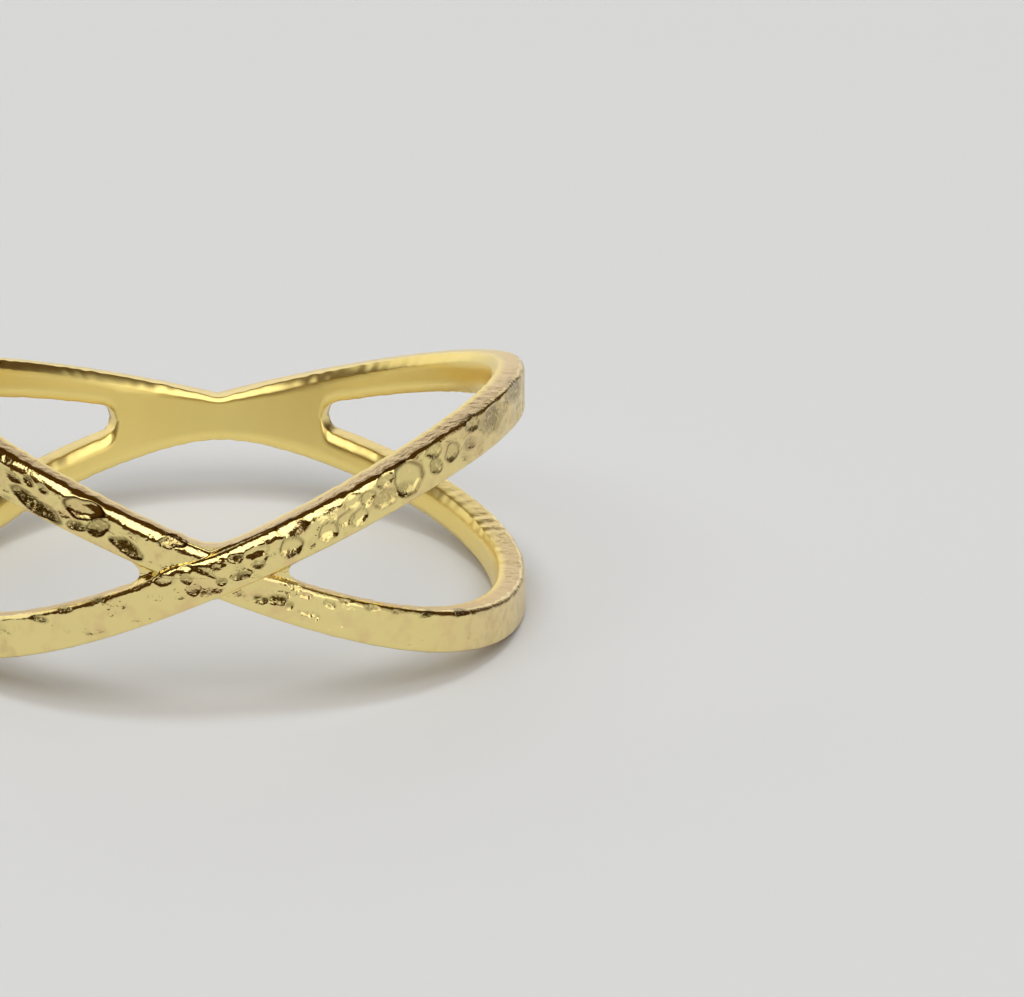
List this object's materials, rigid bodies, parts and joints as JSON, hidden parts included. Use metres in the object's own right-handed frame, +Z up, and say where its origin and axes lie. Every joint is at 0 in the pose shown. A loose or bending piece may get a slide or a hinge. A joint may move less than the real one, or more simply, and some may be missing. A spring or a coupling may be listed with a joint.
{
  "type": "crossover ring",
  "caption": "Open crossover finger ring: two hammered gold bands that cross at the front and the back, joined in one piece.",
  "frame": {"origin": "middle of the ring's bounding box at the surface it rests on", "axes": "+Z up, -Y towards the front crossing; the finger hole's axis leans back from +Z by 5.4 degrees, as the ring rests on its two low arches"},
  "size_m": [0.0194, 0.0194, 0.0083],
  "materials": {
    "gold": "polished and hammered outside, satin inside"
  },
  "bodies": {
    "root": {"ring": "gold"}
  },
  "joints": []
}
